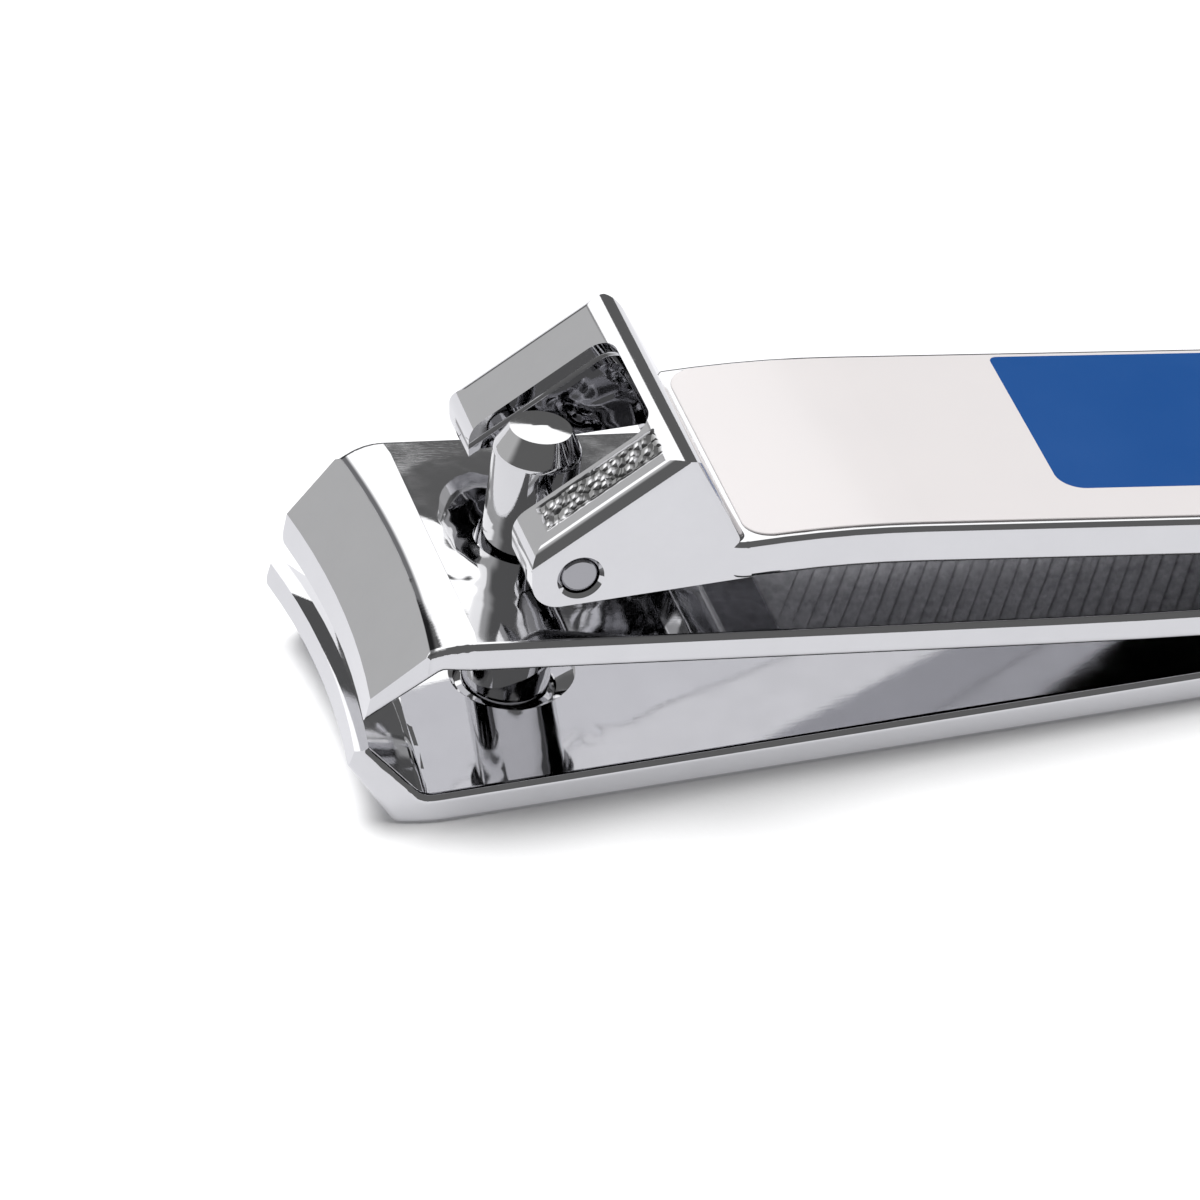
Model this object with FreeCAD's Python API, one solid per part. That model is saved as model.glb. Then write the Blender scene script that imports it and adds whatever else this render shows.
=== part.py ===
import FreeCAD, Part

import math
import os

# Two-arm lever nail clipper with its lever folded down. All sizes are in millimetres.
# Design X starts at the lower jaw's bend and runs to the rear, Y runs across, Z is up from the
# table. Every part is shifted in X at the end, so that the origin is the middle of the length.

Vec = FreeCAD.Vector

# Overall
overall_length = 80.0
arm_width = 17.0
arm_sheet = 1.4
arm_end_radius = 5.5
edge_round = 0.35
running_gap = 0.05

# Jaws, in the design X-Z plane at the side edges of the arms
jaw_curve_radius = 50.0
jaw_plate_start = 5.0
jaw_tip_x = -3.0
jaw_taper_round = 6.0
lower_tip_width = 14.4
lower_taper_end = 1.5
lower_cutting_edge = (-1.7, 3.895)
lower_land = 0.65
lower_lip_foot = (-2.0, 3.0)
lower_bend_outer = 0.6
lower_bend_inner = 0.8
lower_inner_corner = 1.25
upper_tip_width = 14.0
upper_taper_end = 3.2
upper_lip = (-0.3, -1.3)
upper_bevel_length = 3.5
upper_bevel_angle = 48.1
upper_crease_angle = 30.0
upper_bend_radius = 4.0
upper_bend_along = -1.5
upper_inner_along = -1.75
upper_inner_round = 0.6

# Upper arm: straight slope from the jaw, then a long curve into the flat tail
arm_slope = 7.5
slope_anchor = (4.2, 9.0)
tail_start = 71.0
tail_gap = 0.085
hinge_x = 73.0

# Post, square to the sloping part of the upper arm
post_along = 4.1
post_radius = 2.0
post_top = 5.9
post_disc_radius = 1.4
post_dome_rise = 0.12
post_shoulder_drop = 1.1
post_edge_round = 0.6
post_hole_radius = 2.35
post_seat_radius = 3.1
post_seat_height = 0.5
post_seat_floor = 0.42
hole_mouth_radius = 3.1
hole_mouth_depth = 0.45

# Cross pin
pin_radius = 0.85
pin_height = 2.44
pin_offset = 0.3
pin_recess = 0.15
pin_countersink = 0.22
pin_edge_round = 0.2

# Lever
head_width = 14.2
head_edge_round = 0.65
lever_width = 14.6
lever_sheet = 1.2
cavity_round = 0.6
cavity_reach = 12.0
lever_body_thickness = 1.9
lever_body_round = 0.3
head_front_radius = 2.2
head_bottom_round = 1.3
head_nose_round = 1.25
slope_foot = (6.68, 12.1)
peak = (14.05, 16.6)
peak_radius = 1.25
head_rear_foot = (16.65, 11.05)
head_bottom = 9.5
body_start = 15.0
body_top_front = 11.4
body_bend_x = 20.5
body_bend_radius = 55.0
body_slope = 8.6
tail_bend_x = 60.5
tail_bend_radius = 90.0
tail_rise = 3.0
lever_end = 70.3
lever_end_radius = 5.5
lever_front_round = 1.6
slot_width = 7.4
slot_end_along = 7.6
slot_corner_round = 1.2
slot_depth = 3.4

# Label inlay and its plain coloured patch
label_start = 16.6
label_end = 66.8
label_width = 13.8
label_recess = 0.35
label_proud = 0.08
label_corner = 1.3
label_edge_round = 0.07
patch_start = 31.8
patch_end = 53.0
patch_low_y = -4.5
patch_depth = 0.12
patch_margin = 0.25
patch_corner = 1.2
patch_far_corner = 0.4

# Nail file pressed into the lever's underside
file_start = 19.5
file_end = 58.0
file_width = 9.6
file_depth = 0.35
file_corner = 2.0
file_side_margin = 0.5
file_end_margin = 2.0
tooth_pitch = 0.75
tooth_width = 0.38
tooth_depth = 0.16
tooth_angle = 28.0

# Rear eyelet
eyelet_bore = 1.5
eyelet_radius = 2.2
eyelet_flange = 3.1
eyelet_flange_height = 0.5
eyelet_recess = 0.55
eyelet_rim = 0.2

slope_rad = math.radians(arm_slope)
along_dir = Vec(math.cos(slope_rad), 0, -math.sin(slope_rad))
up_dir = Vec(math.sin(slope_rad), 0, math.cos(slope_rad))
anchor = Vec(slope_anchor[0], 0, slope_anchor[1])
jaw_overhang = -lower_lip_foot[0]
arm_end = overall_length - jaw_overhang
half_arm = arm_width / 2
jaw_sag = jaw_curve_radius - math.sqrt(jaw_curve_radius ** 2 - half_arm ** 2)
tail_top = 2 * arm_sheet + tail_gap
far = 200.0
cut_reach = 3.0


def on_side(x, z):
    """Point of the design X-Z plane."""
    return Vec(x, 0, z)


def on_arm(along, up):
    """Point given by its distances along and above the sloping top of the upper arm."""
    return anchor + along_dir * along + up_dir * up


def on_plan(x, y):
    """Point of the design X-Y plane."""
    return Vec(x, y, 0)


def rounded_face(corners):
    """Face inside a closed row of (point, radius) corners, each rounded by its radius."""
    joins = []
    count = len(corners)
    for index, (point, radius) in enumerate(corners):
        if radius == 0:
            joins.append((point, None, point))
            continue
        before = (corners[index - 1][0] - point).normalize()
        after = (corners[(index + 1) % count][0] - point).normalize()
        half_angle = before.getAngle(after) / 2
        reach = radius / math.tan(half_angle)
        centre = point + (before + after).normalize() * (radius / math.sin(half_angle))
        middle = centre + (point - centre).normalize() * radius
        joins.append((point + before * reach, middle, point + after * reach))
    edges = []
    for index, (start, middle, end) in enumerate(joins):
        if middle:
            edges.append(Part.Arc(start, middle, end).toShape())
        following = joins[(index + 1) % count][0]
        if end.distanceToPoint(following) > 1e-6:
            edges.append(Part.makeLine(end, following))
    return Part.Face(Part.Wire(edges))


def across(face, width):
    """Solid swept from a face of the X-Z plane across a width centred on it."""
    face.translate(Vec(0, -width / 2, 0))
    return face.extrude(Vec(0, width, 0))


def upright(face, bottom=-far, top=far):
    """Solid swept up from a face of the X-Y plane."""
    face.translate(Vec(0, 0, bottom))
    return face.extrude(Vec(0, 0, top - bottom))


def plan_outline(start, end, width, front_radius, rear_radius):
    """Face of a straight-sided plan outline with rounded front and rear corners."""
    half = width / 2
    return rounded_face([
        (on_plan(start, -half), front_radius),
        (on_plan(end, -half), rear_radius),
        (on_plan(end, half), rear_radius),
        (on_plan(start, half), front_radius),
    ])


def turned(profile, base, direction):
    """Solid of revolution of a row of (radius, height) points about an axis."""
    points = [Vec(radius, 0, height) for radius, height in profile]
    face = Part.Face(Part.makePolygon(points + points[:1]))
    solid = face.revolve(Vec(0, 0, 0), Vec(0, 0, 1), 360)
    solid.Placement = FreeCAD.Placement(base, FreeCAD.Rotation(Vec(0, 0, 1), direction))
    return solid


def curved_jaw(face, cutting_point, axis_dir):
    """Jaw whose profile follows a shallow hollow curve across the arm's width."""
    axis_base = cutting_point - Vec(jaw_curve_radius, 0, 0)
    half_turn = math.degrees(math.asin(half_arm / (jaw_curve_radius - 5))) + 1
    face.rotate(axis_base, axis_dir, -half_turn)
    return face.revolve(axis_base, axis_dir, 2 * half_turn)


def arm_plan(tip_width, taper_end):
    """Tall block inside an arm's plan: a tapered jaw, straight sides and a rounded rear end."""
    return upright(rounded_face([
        (on_plan(jaw_tip_x, -tip_width / 2), 0),
        (on_plan(taper_end, -half_arm), jaw_taper_round),
        (on_plan(arm_end, -half_arm), arm_end_radius),
        (on_plan(arm_end, half_arm), arm_end_radius),
        (on_plan(taper_end, half_arm), jaw_taper_round),
        (on_plan(jaw_tip_x, tip_width / 2), 0),
    ]))


def soften(shape, radius, wanted):
    """Round the edges whose middle point and length pass a test."""
    edges = []
    for edge in shape.Edges:
        middle = edge.valueAt((edge.FirstParameter + edge.LastParameter) / 2)
        if edge.Length > 0.05 and wanted(middle, edge):
            edges.append(edge)
    return shape.makeFillet(radius, edges)


def post_axis_point(height):
    """Point of the post's axis at a height above the upper arm's sloping top."""
    return on_arm(post_along, height)


def pin_centre():
    """Middle of the cross pin."""
    return on_arm(post_along + pin_offset, pin_height)


def height_of_table():
    """Distance down the post's axis from the upper arm's top to the table."""
    return post_axis_point(0).z / math.cos(slope_rad)


def is_arm_edge(middle, edge, front_limit):
    """True for the long side edges and the rear rim of an arm."""
    ends = [vertex.Point for vertex in edge.Vertexes]
    if len(ends) < 2:
        return False
    upright_edge = abs(ends[0].x - ends[1].x) + abs(ends[0].y - ends[1].y) < 0.01
    on_side_face = abs(abs(middle.y) - half_arm) < 0.001
    on_rear_rim = middle.x > arm_end - arm_end_radius and abs(ends[0].z - ends[1].z) < 0.001
    return middle.x > front_limit and not upright_edge and (on_side_face or on_rear_rim)


def make_lower_arm():
    """Flat arm that lies on the table, with its front bent up into the lower jaw."""
    cutting = on_side(lower_cutting_edge[0] + jaw_sag, lower_cutting_edge[1])
    jaw = rounded_face([
        (cutting + Vec(lower_land, 0, 0), 0),
        (cutting, 0),
        (on_side(lower_lip_foot[0] + jaw_sag, lower_lip_foot[1]), 0),
        (on_side(jaw_sag, 0), lower_bend_outer),
        (on_side(jaw_plate_start + 1, 0), 0),
        (on_side(jaw_plate_start + 1, arm_sheet), 0),
        (on_side(lower_inner_corner + jaw_sag, arm_sheet), lower_bend_inner),
    ])
    jaw = curved_jaw(jaw, cutting, Vec(0, 0, 1))
    plate = Part.makeBox(far, 2 * arm_width, arm_sheet, Vec(jaw_plate_start, -arm_width, 0))
    plan = arm_plan(lower_tip_width, lower_taper_end)
    arm = jaw.common(plan).fuse(plate.common(plan)).removeSplitter()
    arm = soften(arm, edge_round, lambda middle, edge: is_arm_edge(middle, edge, 2.0))
    floor = height_of_table()
    seat = turned([
        (0, -1.0), (post_seat_radius + running_gap, -1.0),
        (post_seat_radius + running_gap, post_seat_floor + running_gap),
        (post_radius + running_gap, post_seat_floor + post_seat_height + running_gap),
        (0, post_seat_floor + post_seat_height + running_gap),
    ], post_axis_point(-floor), up_dir)
    hole = Part.makeCylinder(post_hole_radius, 3, post_axis_point(-floor), up_dir)
    mouth = Part.makeCone(post_hole_radius, hole_mouth_radius, hole_mouth_depth,
                          post_axis_point(arm_sheet - hole_mouth_depth - floor), up_dir)
    brim = Part.makeCylinder(hole_mouth_radius, 1, post_axis_point(arm_sheet - floor), up_dir)
    eyelet_hole = Part.makeCylinder(eyelet_radius, 10, Vec(hinge_x, 0, -1))
    eyelet_seat = Part.makeCylinder(eyelet_flange, 1 + eyelet_recess, Vec(hinge_x, 0, -1))
    return arm.cut([seat, hole, mouth, brim, eyelet_hole, eyelet_seat])


def make_upper_arm():
    """Sloping arm, bent down at the front into the upper jaw and flat at the rear."""
    bevel = math.radians(upper_bevel_angle)
    crease_turn = math.radians(upper_crease_angle)
    tangent = upper_bend_radius * math.tan(crease_turn / 2)
    bend = on_arm(upper_bend_along, 0)
    crease = bend - along_dir * (tangent * math.cos(crease_turn))
    crease -= up_dir * (tangent * math.sin(crease_turn))
    lip_top = crease - along_dir * (upper_bevel_length * math.cos(bevel))
    lip_top -= up_dir * (upper_bevel_length * math.sin(bevel))
    cutting = lip_top + on_side(*upper_lip)
    inner = on_arm(upper_inner_along, -arm_sheet)
    joint = jaw_plate_start - slope_anchor[0]
    shift = along_dir * jaw_sag
    jaw = rounded_face([
        (cutting + shift, 0),
        (lip_top + shift, 0),
        (crease + shift, 0),
        (bend + shift, upper_bend_radius),
        (on_arm(joint, 0), 0),
        (on_arm(joint, -arm_sheet), 0),
        (inner + shift, upper_inner_round),
    ])
    jaw = curved_jaw(jaw, cutting + shift, up_dir)

    # The slope and the tail meet in a corner that is rounded by the long curve.
    corner_x = slope_anchor[0] + (slope_anchor[1] - tail_top) / math.tan(slope_rad)
    curve_radius = (tail_start - corner_x) / math.tan(slope_rad / 2)
    under_corner = corner_x - arm_sheet * math.tan(slope_rad / 2)
    plate = rounded_face([
        (on_arm(joint - 1, 0), 0),
        (on_side(corner_x, tail_top), curve_radius),
        (on_side(far, tail_top), 0),
        (on_side(far, tail_top - arm_sheet), 0),
        (on_side(under_corner, tail_top - arm_sheet), curve_radius + arm_sheet),
        (on_arm(joint - 1, -arm_sheet), 0),
    ])
    plan = arm_plan(upper_tip_width, upper_taper_end)
    arm = jaw.common(plan).fuse(across(plate, 2 * arm_width).common(plan)).removeSplitter()
    arm = soften(arm, edge_round, lambda middle, edge: is_arm_edge(middle, edge, 1.8))
    hole = Part.makeCylinder(post_hole_radius, 4, post_axis_point(-3), up_dir)
    eyelet_hole = Part.makeCylinder(eyelet_radius + tail_gap, 10, Vec(hinge_x, 0, -1))
    return arm.cut([hole, eyelet_hole])


def make_rear_eyelet():
    """Hollow rivet that holds the two arms together at the rear."""
    top = tail_top + tail_gap
    profile = [
        (eyelet_bore, 0.0), (eyelet_flange - eyelet_rim, 0.0), (eyelet_flange, eyelet_rim),
        (eyelet_flange, eyelet_recess), (eyelet_radius, eyelet_recess), (eyelet_radius, top),
        (eyelet_flange, top), (eyelet_flange, top + eyelet_flange_height - eyelet_rim),
        (eyelet_flange - eyelet_rim, top + eyelet_flange_height),
        (eyelet_bore + eyelet_rim, top + eyelet_flange_height),
        (eyelet_bore, top + eyelet_flange_height - eyelet_rim),
    ]
    return turned(profile, Vec(hinge_x, 0, 0), Vec(0, 0, 1))


def make_post():
    """Stud through both arms: a seated foot, a round shank and a notched, domed head."""
    foot = -height_of_table() + post_seat_floor
    rim = post_top - post_dome_rise
    face = rounded_face([
        (on_side(0, foot), 0),
        (on_side(post_seat_radius, foot), 0),
        (on_side(post_radius, foot + post_seat_height), 0),
        (on_side(post_radius, rim - post_shoulder_drop), post_edge_round),
        (on_side(post_disc_radius, rim), 0),
        (on_side(0, post_top), 0),
    ])
    post = face.revolve(Vec(0, 0, 0), Vec(0, 0, 1), 360)
    notch_radius = pin_radius + running_gap
    notch = Part.makeCylinder(notch_radius, 10, Vec(pin_offset, -5, pin_height), Vec(0, 1, 0))
    mouth = Part.makeBox(5, 10, 2 * notch_radius, Vec(pin_offset, -5, pin_height - notch_radius))
    post = post.cut(notch.fuse(mouth))
    post.Placement = FreeCAD.Placement(post_axis_point(0), FreeCAD.Rotation(Vec(0, 1, 0), arm_slope))
    return post


def make_cross_pin():
    """Pin across the lever's cheeks, lying in the post's notch."""
    half = head_width / 2 - pin_recess
    centre = pin_centre()
    pin = Part.makeCylinder(pin_radius, 2 * half, centre - Vec(0, half, 0), Vec(0, 1, 0))
    return soften(pin, pin_edge_round, lambda middle, edge: abs(abs(middle.y) - half) < 0.001)


def body_side(offset):
    """Points of the lever body's top line, moved down by an offset, with their bend radii."""
    slope = math.radians(body_slope)
    rise = math.radians(tail_rise)
    first = on_side(body_bend_x, body_top_front)
    second = on_side(tail_bend_x, body_top_front - (tail_bend_x - body_bend_x) * math.tan(slope))
    last = on_side(lever_end + 10, second.z + (lever_end + 10 - tail_bend_x) * math.tan(rise))
    first = first - on_side(math.sin(slope / 2), math.cos(slope / 2)) * (offset / math.cos(slope / 2))
    turn = (slope + rise) / 2
    tilt = slope - turn
    second = second - on_side(math.sin(tilt), math.cos(tilt)) * (offset / math.cos(turn))
    last = last - on_side(-math.sin(rise), math.cos(rise)) * offset
    return [
        (on_side(body_start, first.z), 0),
        (first, body_bend_radius - offset),
        (second, tail_bend_radius + offset),
        (last, 0),
    ]


def body_band(top_offset, bottom_offset):
    """Face between two lines that follow the top of the lever's body."""
    return rounded_face(body_side(top_offset) + body_side(bottom_offset)[::-1])


def rounded_bar(base, along, inward, width, radius):
    """Long bar on the inner side of a plane, with its two outer edges rounded."""
    side = Vec(0, width / 2, 0)
    depth = inward * far
    face = rounded_face([
        (base - side, radius),
        (base + side, radius),
        (base + side + depth, 0),
        (base - side + depth, 0),
    ])
    face.translate(along * -far)
    return face.extrude(along * (2 * far))


def make_head(slope_dir, inward):
    """Hollow lever head: two cheeks, a sloping top and a rear wall, open at the front and below."""
    front = pin_centre().x - head_front_radius
    top = on_side(*peak)
    wall_dir = (on_side(*head_rear_foot) - top).normalize()
    wall_in = on_side(wall_dir.z, -wall_dir.x)
    wall_foot = top + wall_dir * ((peak[1] - head_bottom) / -wall_dir.z)
    nose = on_side(*slope_foot) - slope_dir * ((slope_foot[0] - front) / slope_dir.x)
    outline = rounded_face([
        (on_side(front, head_bottom), head_bottom_round),
        (nose, head_nose_round),
        (top, peak_radius),
        (wall_foot, 0),
    ])
    head = across(outline, head_width)
    head = head.common(rounded_bar(top, slope_dir, inward, head_width, head_edge_round))
    head = head.common(rounded_bar(top, wall_dir, wall_in, head_width, head_edge_round))

    under_slope = on_side(*slope_foot) + inward * lever_sheet - slope_dir * cavity_reach
    corner = meeting(under_slope, slope_dir, top + wall_in * lever_sheet, wall_dir)
    foot = corner + wall_dir * cavity_reach
    cavity = rounded_face([
        (under_slope, 0),
        (corner, cavity_round),
        (foot, 0),
        (on_side(under_slope.x, foot.z), 0),
    ])
    return head.cut(across(cavity, head_width - 2 * lever_sheet))


def meeting(first_point, first_dir, second_point, second_dir):
    """Where two lines of the X-Z plane cross."""
    gap = second_point - first_point
    cross = first_dir.x * second_dir.z - first_dir.z * second_dir.x
    reach = (gap.x * second_dir.z - gap.z * second_dir.x) / cross
    return first_point + first_dir * reach


def make_lever():
    """Lever: hollow slotted head, solid body, label recess on top and nail file below."""
    foot = on_side(*slope_foot)
    slope_dir = (on_side(*peak) - foot).normalize()
    inward = on_side(slope_dir.z, -slope_dir.x)
    body = across(body_band(0, lever_body_thickness), lever_width)
    body = body.common(upright(plan_outline(body_start, lever_end, lever_width,
                                            lever_front_round, lever_end_radius)))
    body = soften(body, lever_body_round, is_body_rim)

    # The slot is cut square to the sloping top and ends just short of the ridge.
    side = Vec(0, slot_width / 2, 0)
    start = foot - slope_dir * slot_end_along
    stop = foot + slope_dir * slot_end_along
    slot = rounded_face([
        (start - side, 0),
        (stop - side, slot_corner_round),
        (stop + side, slot_corner_round),
        (start + side, 0),
    ])
    slot.translate(inward * -slot_depth)
    slot = slot.extrude(inward * (2 * slot_depth))
    head = make_head(slope_dir, inward).cut(slot)

    label_cut = across(body_band(-cut_reach, label_recess), lever_width).common(upright(label_plan()))
    lever = head.fuse(body).cut([label_cut, file_cutter()])
    hole = Part.makeCylinder(pin_radius + running_gap, far, pin_centre() - Vec(0, far / 2, 0),
                             Vec(0, 1, 0))
    lever = lever.cut(hole)
    for sign in (-1, 1):
        base = pin_centre() + Vec(0, sign * head_width / 2, 0)
        cone = Part.makeCone(pin_radius + pin_countersink, pin_radius, pin_countersink, base,
                             Vec(0, -sign, 0))
        lever = lever.cut(cone)
    return lever.removeSplitter()


def is_body_rim(middle, edge):
    """True for the top and bottom rims of the lever's body."""
    ends = [vertex.Point for vertex in edge.Vertexes]
    upright_edge = len(ends) > 1 and abs(ends[0].x - ends[1].x) + abs(ends[0].y - ends[1].y) < 0.01
    in_front = middle.x < body_start + lever_front_round + 0.1
    return not upright_edge and not in_front


def file_cutter():
    """Shallow pocket and slanting teeth of the nail file, as one cutting shape."""
    floor = lever_body_thickness - file_depth
    outline = upright(plan_outline(file_start, file_end, file_width, file_corner, file_corner))
    pocket = across(body_band(floor, lever_body_thickness + cut_reach), lever_width).common(outline)
    half = file_width / 2 - file_side_margin
    lean = half * math.tan(math.radians(tooth_angle))
    count = int((file_end - file_start - 2 * file_end_margin) / tooth_pitch)
    teeth = []
    for index in range(count):
        x = file_start + file_end_margin + index * tooth_pitch
        corners = [
            on_plan(x - lean, -half),
            on_plan(x - lean + tooth_width, -half),
            on_plan(x + lean + tooth_width, half),
            on_plan(x + lean, half),
        ]
        teeth.append(upright(Part.Face(Part.makePolygon(corners + corners[:1]))))
    grooves = across(body_band(floor - tooth_depth, lever_body_thickness), lever_width)
    grooves = grooves.common(Part.Compound(teeth)).common(outline)
    return Part.Compound([pocket] + grooves.Solids)


def label_plan():
    """Plan outline of the label."""
    return plan_outline(label_start, label_end, label_width, label_corner, label_corner)


def patch_plan():
    """Plan outline of the coloured patch, which runs to the label's far side."""
    far_side = label_width / 2 - patch_margin
    return rounded_face([
        (on_plan(patch_start, patch_low_y), patch_corner),
        (on_plan(patch_end, patch_low_y), patch_corner),
        (on_plan(patch_end, far_side), patch_far_corner),
        (on_plan(patch_start, far_side), patch_far_corner),
    ])


def label_solid(top_offset, bottom_offset, plan):
    """Thin plate that follows the lever's top between two offsets."""
    return across(body_band(top_offset, bottom_offset), lever_width).common(upright(plan))


def is_plate_rim(middle, edge):
    """True for the upper rim of the label plate."""
    ends = [vertex.Point for vertex in edge.Vertexes]
    upright_edge = on_plan(ends[0].x, ends[0].y).distanceToPoint(on_plan(ends[1].x, ends[1].y)) < 0.01
    band = body_band(-label_proud, label_recess)
    top = band.common(Part.makeLine(on_side(middle.x, 0), on_side(middle.x, far))).BoundBox.ZMax
    return not upright_edge and abs(middle.z - top) < 0.02


def make_label_plate():
    """White enamel plate in the lever's top recess, with a bed for the coloured patch."""
    plate = label_solid(-label_proud, label_recess, label_plan())
    plate = soften(plate, label_edge_round, is_plate_rim)
    return plate.cut(label_solid(-1, patch_depth - label_proud, patch_plan()))


def make_label_patch():
    """Plain coloured patch, flush in the label plate."""
    return label_solid(-label_proud, patch_depth - label_proud, patch_plan())


MAKERS = {
    "lower_arm": make_lower_arm,
    "upper_arm": make_upper_arm,
    "rear_eyelet": make_rear_eyelet,
    "post": make_post,
    "cross_pin": make_cross_pin,
    "lever": make_lever,
    "label_plate": make_label_plate,
    "label_patch": make_label_patch,
}

os.makedirs("parts", exist_ok=True)
to_origin = Vec(jaw_overhang - overall_length / 2, 0, 0)
for node, maker in MAKERS.items():
    shape = maker()
    shape.translate(to_origin)
    box = shape.BoundBox
    print(node, shape.ShapeType, len(shape.Solids), shape.isValid(), round(shape.Volume, 2),
          [round(value, 2) for value in (box.XMin, box.XMax, box.YMin, box.YMax, box.ZMin, box.ZMax)])
    shape.exportStep(os.path.join("parts", node + ".step"))
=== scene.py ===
import math

import bpy
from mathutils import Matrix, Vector

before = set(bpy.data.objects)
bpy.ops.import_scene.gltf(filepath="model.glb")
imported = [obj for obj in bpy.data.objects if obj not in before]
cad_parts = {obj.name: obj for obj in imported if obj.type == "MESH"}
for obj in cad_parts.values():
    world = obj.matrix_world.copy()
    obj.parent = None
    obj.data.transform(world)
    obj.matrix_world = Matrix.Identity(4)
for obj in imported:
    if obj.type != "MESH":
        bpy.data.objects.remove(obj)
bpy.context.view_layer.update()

# Lever nail clipper. Lengths are metres in the part's own frame: +X to the rear, +Z up.
MM = 0.001

# Camera: a long lens at the viewing angle, aimed at the front half of the tool
CAMERA_AZIMUTH = -15.5
CAMERA_ELEVATION = 34.4
CAMERA_DISTANCE = 0.45
CAMERA_AIM = Vector((-0.026345, -0.00023, 0.004645))
FRAME_WIDTH = 0.05357
SENSOR = 36.0

# Studio
FLOOR_COLOUR = (0.96, 0.96, 0.965)
FLOOR_MIRRORED = (0.46, 0.46, 0.475)
FLOOR_MIRROR_GLOW = (0.36, 0.36, 0.37, 1)
BACKDROP = (0.95, 0.95, 0.955, 1)
SOFTBOX_LEVEL = 1.5
WORLD_FILL = 0.6
KEY_POWER = 3.44
KEY_SPREAD = math.radians(31)
KEY_DIRECTION = Vector((-0.1, 0.09, 0.42))
SOFTBOX_START = (0.6, 0.614)
SOFTBOX_END = (0.22, 0.4)
WALL_LEFT = 0.56
WALL_RIGHT = 0.13
FRONT_LEVEL = 0.14

# Finishes: base colours, and depths in millimetres
PLATING = (0.74, 0.74, 0.755)
POST_PLATING = (0.72, 0.72, 0.73)
PIN_PLATING = (0.4, 0.4, 0.42)
WHITE_ENAMEL = (0.665, 0.637, 0.64)
WHITE_ENAMEL_LIGHT = (0.695, 0.663, 0.66)
BLUE_PRINT = (0.002, 0.058, 0.235)
BLUE_PRINT_LIGHT = (0.003, 0.066, 0.255)
# Underside tones: painted shade, mottled at random
UNDERSIDE_SHADE_DARK = (0.08, 0.08, 0.09, 1)
UNDERSIDE_SHADE_LIGHT = (0.42, 0.42, 0.44, 1)
# File tones: its grain mottle, lifted lighter as painted light
FILE_GRAIN_AND_SHEEN_DARK = (0.2, 0.2, 0.215, 1)
FILE_GRAIN_AND_SHEEN_LIGHT = (0.9, 0.9, 0.92, 1)
# Painted shade inside the hollow of the head
HOLLOW_SHADE = (0.55, 0.55, 0.57, 1)
KNURL_TINT = (0.2, 0.2, 0.2, 1)
# Painted shade for the crease where the jaw's facet meets the arm
CREASE_SHADE = (0.09, 0.09, 0.095, 1)
HAZE_SHADE = 0.93
WAVE_DEPTH = 0.006
POLISH_DEPTH = 0.0006
RIPPLE_DEPTH = 0.16
KNURL_DEPTH = 0.16
DENT_DEPTH = 0.45

# Landmarks of the part, in millimetres of its own frame
SLOPE_FOOT = (-31.32, 12.1)
SLOPE_ANGLE = math.radians(31.4)
HEAD_PEAK = (-23.95, 16.6)
WALL_ANGLE = math.radians(-64.9)
POST_CENTRE_X = -29.73
JAW_AXIS_BASE = (-88.51, 5.11)
ARM_SLOPE = math.radians(7.5)
CREASE_RADIUS = 52.04
CREASE_HALF_LENGTH = 8.2
CREASE_LOWEST = 7.6
RIPPLE_REACH = (7.2, 3.2)
FILE_START = -18.5
HOLLOW_HALF_WIDTH = 6.3
HOLLOW_REAR = -21.2
STRIP_SIDES = (-5.9, -3.95)
STRIP_ENDS = (1.1, 7.5)


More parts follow.
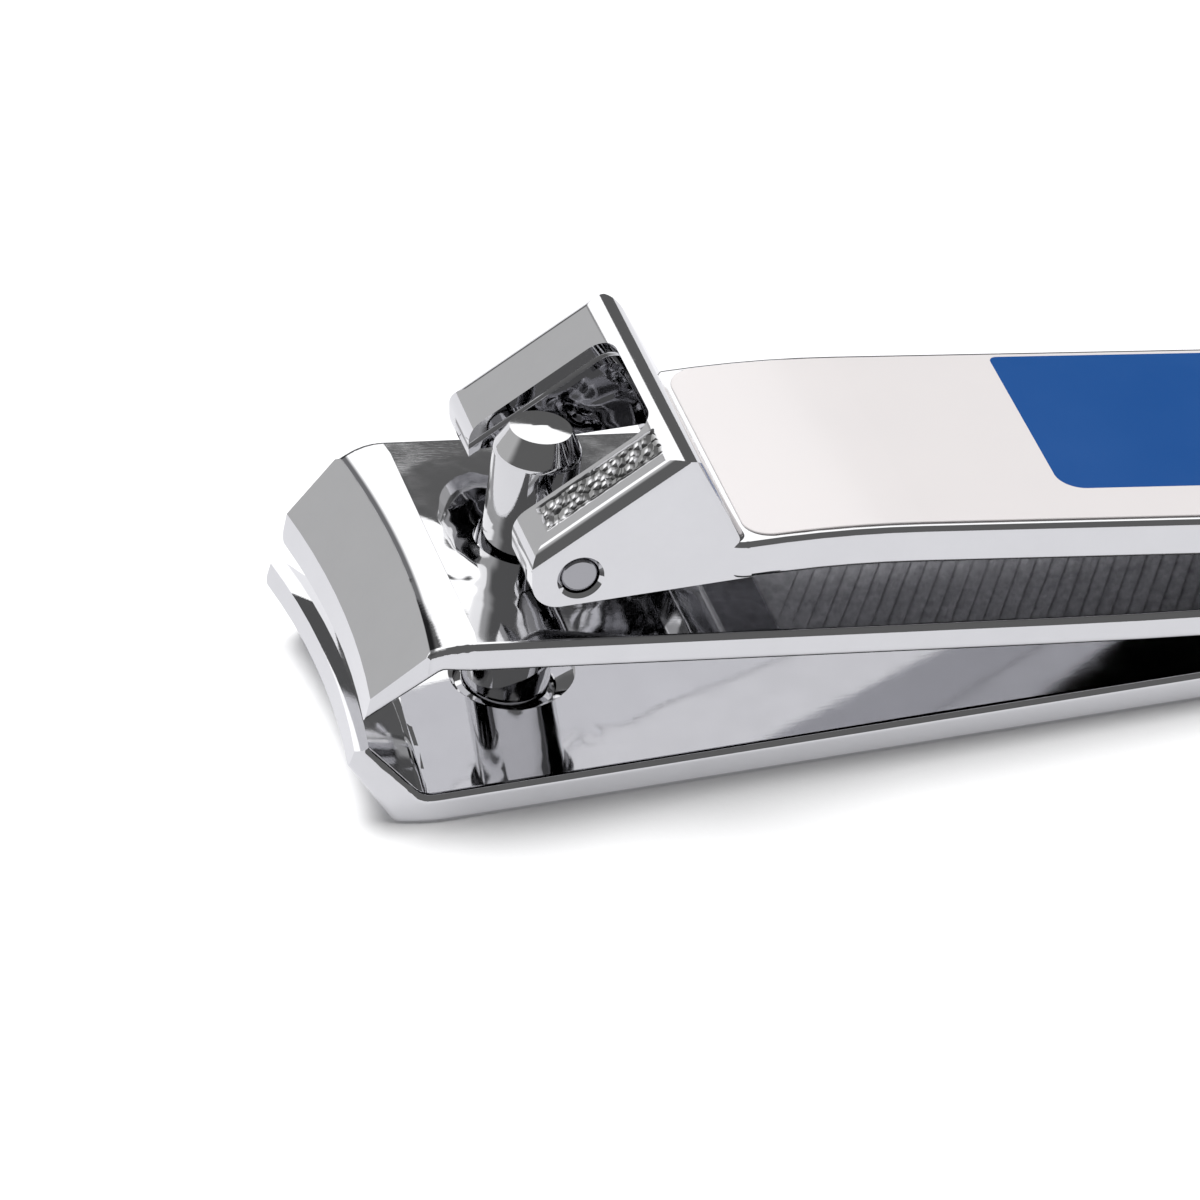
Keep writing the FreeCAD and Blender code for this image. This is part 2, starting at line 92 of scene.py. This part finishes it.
class Nodes:
    """Small helper that adds and links shader nodes."""

    def __init__(self, tree):
        self.tree = tree
        tree.nodes.clear()

    def add(self, kind, **values):
        node = self.tree.nodes.new(kind)
        for name, value in values.items():
            setattr(node, name, value)
        return node

    def link(self, source, target):
        self.tree.links.new(source, target)

    def put(self, value, target):
        """Links a socket, or sets a plain number or colour."""
        if isinstance(value, bpy.types.NodeSocket):
            self.link(value, target)
        else:
            target.default_value = value

    def math(self, operation, first, second=0.0):
        node = self.add("ShaderNodeMath", operation=operation)
        self.put(first, node.inputs[0])
        self.put(second, node.inputs[1])
        return node.outputs[0]

    def step(self, value, low, high):
        """Smooth step from 0 at low to 1 at high."""
        node = self.add("ShaderNodeMapRange", interpolation_type="SMOOTHSTEP")
        self.put(value, node.inputs["Value"])
        node.inputs["From Min"].default_value = low
        node.inputs["From Max"].default_value = high
        return node.outputs[0]

    def mix(self, share, first, second):
        node = self.add("ShaderNodeMix", data_type="RGBA")
        self.put(share, node.inputs["Factor"])
        self.put(first, node.inputs["A"])
        self.put(second, node.inputs["B"])
        return node.outputs["Result"]

    def place(self, scale=(1, 1, 1)):
        """Object coordinates in millimetres, stretched by a scale."""
        source = self.add("ShaderNodeTexCoord")
        mapping = self.add("ShaderNodeMapping")
        mapping.inputs["Scale"].default_value = [s / MM for s in scale]
        self.link(source.outputs["Object"], mapping.inputs["Vector"])
        return mapping.outputs[0]

    def split(self, vector):
        node = self.add("ShaderNodeSeparateXYZ")
        self.link(vector, node.inputs[0])
        return node.outputs

    def normal_parts(self):
        """The surface normal's X, Y and Z in the piece's own frame."""
        return self.split(self.add("ShaderNodeTexCoord").outputs["Normal"])

    def blend(self, first, second, weight):
        """first + second * weight, for plain numbers and sockets."""
        node = self.add("ShaderNodeMath", operation="MULTIPLY_ADD")
        self.put(second, node.inputs[0])
        self.put(weight, node.inputs[1])
        self.put(first, node.inputs[2])
        return node.outputs[0]

    def both(self, *masks):
        """Product of masks."""
        result = masks[0]
        for mask in masks[1:]:
            result = self.math("MULTIPLY", result, mask)
        return result

    def cells(self, scale=(1, 1, 1), size=1.0):
        """Distance to the nearest point of a scattered pattern whose cells measure about size mm."""
        node = self.add("ShaderNodeTexVoronoi")
        self.link(self.place(scale), node.inputs["Vector"])
        node.inputs["Scale"].default_value = 1 / size
        return node.outputs["Distance"]

    def noise(self, scale=(1, 1, 1), size=1.0, detail=2.0, roughness=0.5, distortion=0.0):
        """Noise texture whose features measure about size millimetres."""
        node = self.add("ShaderNodeTexNoise")
        self.link(self.place(scale), node.inputs["Vector"])
        node.inputs["Scale"].default_value = 1 / size
        node.inputs["Detail"].default_value = detail
        node.inputs["Roughness"].default_value = roughness
        node.inputs["Distortion"].default_value = distortion
        return node.outputs["Fac"]

    def bump(self, height, depth, normal=None):
        """Bump of a 0 to 1 height field whose full depth is in millimetres."""
        node = self.add("ShaderNodeBump")
        node.inputs["Strength"].default_value = 1.0
        node.inputs["Distance"].default_value = depth * MM
        self.put(height, node.inputs["Height"])
        if normal is not None:
            self.link(normal, node.inputs["Normal"])
        return node.outputs[0]


def grey(level):
    return (level, level, level, 1)


def new_material(name):
    material = bpy.data.materials.new(name)
    material.use_nodes = True
    return material, Nodes(material.node_tree)


def finish_material(nodes, colour, metallic, roughness, normal, extras=None):
    """Adds the surface shader; extras holds further inputs by name."""
    shader = nodes.add("ShaderNodeBsdfPrincipled")
    output = nodes.add("ShaderNodeOutputMaterial")
    nodes.put(colour, shader.inputs["Base Color"])
    nodes.put(metallic, shader.inputs["Metallic"])
    nodes.put(roughness, shader.inputs["Roughness"])
    nodes.link(normal, shader.inputs["Normal"])
    for name, value in (extras or {}).items():
        nodes.put(value, shader.inputs[name])
    nodes.link(shader.outputs[0], output.inputs["Surface"])


def plating_base(nodes, colour, wave_depth=WAVE_DEPTH):
    """Shared look of polished plating: returns its tint, roughness and normal sockets."""
    waves = nodes.noise(size=5.0, detail=1.0)
    lines = nodes.noise(scale=(0.06, 1, 1), size=0.12, detail=3.0, roughness=0.7)
    haze = nodes.noise(size=2.2, detail=4.0, roughness=0.65)
    normal = nodes.bump(waves, wave_depth)
    normal = nodes.bump(lines, POLISH_DEPTH, normal)
    roughness = nodes.blend(0.03, nodes.step(haze, 0.35, 0.75), 0.06)
    tint = nodes.mix(haze, colour + (1,), tuple(c * HAZE_SHADE for c in colour) + (1,))
    return tint, roughness, normal


def chrome(name, colour, wave_depth=WAVE_DEPTH):
    """Polished plating: slow waviness, fine polishing lines along X, faint haze patches."""
    material, nodes = new_material(name)
    tint, roughness, normal = plating_base(nodes, colour, wave_depth)
    finish_material(nodes, tint, 1.0, roughness, normal)
    return material


def upper_arm_plating(colour):
    """Arm plating that ripples around the post hole, where the sheet was punched and riveted."""
    material, nodes = new_material("arm_plating_upper")
    tint, roughness, normal = plating_base(nodes, colour)
    x, y, z = nodes.split(nodes.place())
    dx = nodes.math("SUBTRACT", x, POST_CENTRE_X)
    reach = nodes.math("SQRT", nodes.blend(nodes.math("MULTIPLY", dx, dx), y, y))
    near_post = nodes.step(reach, *RIPPLE_REACH)
    ripple = nodes.noise(scale=(1, 0.7, 1), size=2.6, detail=1.0, roughness=0.5, distortion=0.9)
    normal = nodes.bump(nodes.both(near_post, ripple), RIPPLE_DEPTH, normal)

    # Painted shade: a dark line where the jaw's facet ends, a circle about the axis of the curved jaw
    run = nodes.math("SUBTRACT", x, JAW_AXIS_BASE[0])
    rise = nodes.math("SUBTRACT", z, JAW_AXIS_BASE[1])
    flat = nodes.blend(nodes.math("MULTIPLY", run, math.cos(ARM_SLOPE)), rise, -math.sin(ARM_SLOPE))
    radius = nodes.math("SQRT", nodes.blend(nodes.math("MULTIPLY", flat, flat), y, y))
    offset = nodes.math("SUBTRACT", radius, CREASE_RADIUS)
    line = nodes.both(nodes.step(offset, -0.04, 0.02),
                      nodes.step(offset, 0.3, 0.14),
                      nodes.step(nodes.math("ABSOLUTE", y), CREASE_HALF_LENGTH, CREASE_HALF_LENGTH - 0.3),
                      nodes.step(z, CREASE_LOWEST, CREASE_LOWEST + 0.3))
    # Paints the crease line dark as shade
    tint = nodes.mix(line, tint, CREASE_SHADE)
    finish_material(nodes, tint, 1.0, roughness, normal)
    return material


def lever_plating(colour):
    """Lever plating: bright outside; a dull underside darkened with painted shade, its file lightened
    with painted light; a wavy hollow inside darkened with painted shade; a knurled strip on the slope.
    """
    material, nodes = new_material("lever_plating")
    tint, roughness, normal = plating_base(nodes, colour)
    x, y, z = nodes.split(nodes.place())
    dx = nodes.math("SUBTRACT", x, SLOPE_FOOT[0])
    dz = nodes.math("SUBTRACT", z, SLOPE_FOOT[1])
    sine, cosine = math.sin(SLOPE_ANGLE), math.cos(SLOPE_ANGLE)
    depth = nodes.blend(nodes.math("MULTIPLY", dx, sine), dz, -cosine)
    along = nodes.blend(nodes.math("MULTIPLY", dx, cosine), dz, sine)

    # Dull underside with the file on it: faces turned downwards are tinted dark as painted shade, mottled
    # at random
    under = nodes.step(nodes.normal_parts()[2], -0.4, -0.75)
    grit = nodes.noise(size=0.5, detail=3.0, roughness=0.7)
    tint = nodes.mix(under, tint, nodes.mix(grit, UNDERSIDE_SHADE_DARK, UNDERSIDE_SHADE_LIGHT))
    roughness = nodes.blend(roughness, under, 0.16)
    # The file is tinted lighter than the rest of the underside as painted light, mottled by its grain
    filed = nodes.both(under, nodes.step(x, FILE_START - 0.3, FILE_START))
    tint = nodes.mix(filed, tint, nodes.mix(grit, FILE_GRAIN_AND_SHEEN_DARK, FILE_GRAIN_AND_SHEEN_LIGHT))
    roughness = nodes.blend(roughness, filed, 0.15)

    # Hollow of the head, left rough from pressing, and tinted darker inside as painted shade
    wall_x = nodes.math("MULTIPLY", nodes.math("SUBTRACT", x, HEAD_PEAK[0]), math.sin(WALL_ANGLE))
    wall_depth = nodes.blend(wall_x, nodes.math("SUBTRACT", z, HEAD_PEAK[1]), -math.cos(WALL_ANGLE))
    inside = nodes.both(nodes.step(depth, 0.6, 0.9),
                        nodes.step(wall_depth, 0.6, 0.9),
                        nodes.step(nodes.math("ABSOLUTE", y), HOLLOW_HALF_WIDTH, HOLLOW_HALF_WIDTH - 0.4),
                        nodes.step(x, HOLLOW_REAR, HOLLOW_REAR - 0.4))
    dents = nodes.noise(size=3.0, detail=1.0, roughness=0.5, distortion=0.5)
    normal = nodes.bump(nodes.both(inside, dents), DENT_DEPTH, normal)
    # Darkens the hollow as painted shade
    tint = nodes.mix(inside, tint, HOLLOW_SHADE)

    # Knurled grip strip on the near side of the slope
    strip = nodes.both(nodes.step(depth, 0.2, 0.08),
                       nodes.step(y, STRIP_SIDES[1], STRIP_SIDES[1] - 0.2),
                       nodes.step(y, STRIP_SIDES[0], STRIP_SIDES[0] + 0.2),
                       nodes.step(along, STRIP_ENDS[0], STRIP_ENDS[0] + 0.3),
                       nodes.step(along, STRIP_ENDS[1], STRIP_ENDS[1] - 0.3))
    knurl = nodes.cells(scale=(1, 0.8, 1), size=0.42)
    normal = nodes.bump(nodes.both(strip, knurl), KNURL_DEPTH, normal)
    tint = nodes.mix(nodes.both(strip, nodes.step(knurl, 0.25, 0.55)), tint, KNURL_TINT)
    finish_material(nodes, tint, 1.0, roughness, normal)
    return material


def enamel(name, colour, light_colour, coat):
    """Glossy poured enamel with a soft orange-peel surface and slow changes of tone."""
    material, nodes = new_material(name)
    peel = nodes.noise(size=1.6, detail=1.0)
    tone = nodes.noise(size=6.0, detail=3.0)
    roughness = nodes.blend(0.14, tone, 0.1)
    tint = nodes.mix(tone, colour + (1,), light_colour + (1,))
    extras = {"Coat Weight": coat, "Coat Roughness": 0.06, "Specular IOR Level": 0.25}
    finish_material(nodes, tint, 0.0, roughness, nodes.bump(peel, 0.002), extras)
    return material


def paint_nodes():
    """Gives every CAD node its material."""
    looks = {
        "lower_arm": chrome("arm_plating_lower", PLATING),
        "upper_arm": upper_arm_plating(PLATING),
        "lever": lever_plating(PLATING),
        "post": chrome("post_plating", POST_PLATING, wave_depth=0.05),
        "cross_pin": chrome("pin_plating", PIN_PLATING, wave_depth=0.06),
        "rear_eyelet": chrome("eyelet_plating", PLATING),
        "label_plate": enamel("white_enamel", WHITE_ENAMEL, WHITE_ENAMEL_LIGHT, coat=0.25),
        "label_patch": enamel("blue_print", BLUE_PRINT, BLUE_PRINT_LIGHT, coat=0.05),
    }
    for name, material in looks.items():
        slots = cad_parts[name].data.materials
        slots.clear()
        slots.append(material)


def make_floor():
    """Pale paper floor, with an even grey glow where the plating mirrors it."""
    bpy.ops.mesh.primitive_plane_add(size=6.0, location=(0, 0, 0))
    floor = bpy.context.object
    floor.name = "floor"
    material, nodes = new_material("floor_paper")
    grain = nodes.noise(size=0.4, detail=3.0)
    paper = nodes.mix(grain, FLOOR_COLOUR + (1,), tuple(c * 0.985 for c in FLOOR_COLOUR) + (1,))
    paths = nodes.add("ShaderNodeLightPath")
    mirrored = paths.outputs["Is Glossy Ray"]
    tone = nodes.mix(mirrored, paper, FLOOR_MIRRORED + (1,))
    finish_material(nodes, tone, 0.0, 0.6, nodes.bump(grain, 0.01),
                    {"Emission Color": FLOOR_MIRROR_GLOW, "Emission Strength": mirrored})
    floor.data.materials.append(material)


def make_world():
    """Studio surroundings: a large overhead softbox, a grey wall behind and a dark front."""
    world = bpy.data.worlds.new("studio")
    bpy.context.scene.world = world
    world.use_nodes = True
    nodes = Nodes(world.node_tree)
    coords = nodes.add("ShaderNodeTexCoord")
    x, y, z = nodes.split(coords.outputs["Generated"])
    # The softbox starts above the far wall, at about 30 degrees, a little lower on the right.
    # It ends before the near side, so edges that are rounded towards the viewer stay dark.
    height = nodes.blend(nodes.blend(z, y, 0.12), x, 0.06)
    softbox = nodes.both(nodes.step(height, *SOFTBOX_START), nodes.step(y, *SOFTBOX_END))
    front = nodes.step(y, 0.15, -0.25)
    wall = nodes.mix(nodes.step(x, -0.37, -0.2), grey(WALL_LEFT), grey(WALL_RIGHT))
    side = nodes.mix(front, wall, grey(FRONT_LEVEL))
    sky = nodes.mix(softbox, side, grey(SOFTBOX_LEVEL))
    paths = nodes.add("ShaderNodeLightPath")
    shown = nodes.mix(paths.outputs["Is Camera Ray"], sky, BACKDROP)
    background = nodes.add("ShaderNodeBackground")
    nodes.link(shown, background.inputs["Color"])
    fill = nodes.blend(1.0, paths.outputs["Is Diffuse Ray"], WORLD_FILL - 1)
    nodes.link(fill, background.inputs["Strength"])
    output = nodes.add("ShaderNodeOutputWorld")
    nodes.link(background.outputs[0], output.inputs["Surface"])


def make_key_light():
    """Broad soft light overhead that lights the floor and label but stays out of reflections."""
    data = bpy.data.lights.new("key", "SUN")
    data.angle = KEY_SPREAD
    data.energy = KEY_POWER
    light = bpy.data.objects.new("key", data)
    bpy.context.scene.collection.objects.link(light)
    light.rotation_euler = KEY_DIRECTION.to_track_quat("Z", "Y").to_euler()
    light.visible_glossy = False


def make_camera():
    """Long-lens camera that looks at the jaws from the front left."""
    azimuth, elevation = math.radians(CAMERA_AZIMUTH), math.radians(CAMERA_ELEVATION)
    back = Vector((math.sin(azimuth) * math.cos(elevation),
                   -math.cos(azimuth) * math.cos(elevation),
                   math.sin(elevation)))
    data = bpy.data.cameras.new("camera")
    data.sensor_width = SENSOR
    data.lens = SENSOR * CAMERA_DISTANCE / FRAME_WIDTH
    data.clip_start = 0.01
    camera = bpy.data.objects.new("camera", data)
    bpy.context.scene.collection.objects.link(camera)
    camera.location = CAMERA_AIM + back * CAMERA_DISTANCE
    camera.rotation_euler = back.to_track_quat("Z", "Y").to_euler()
    bpy.context.scene.camera = camera


paint_nodes()
make_floor()
make_world()
make_key_light()
make_camera()
bpy.context.scene.view_settings.view_transform = "Standard"
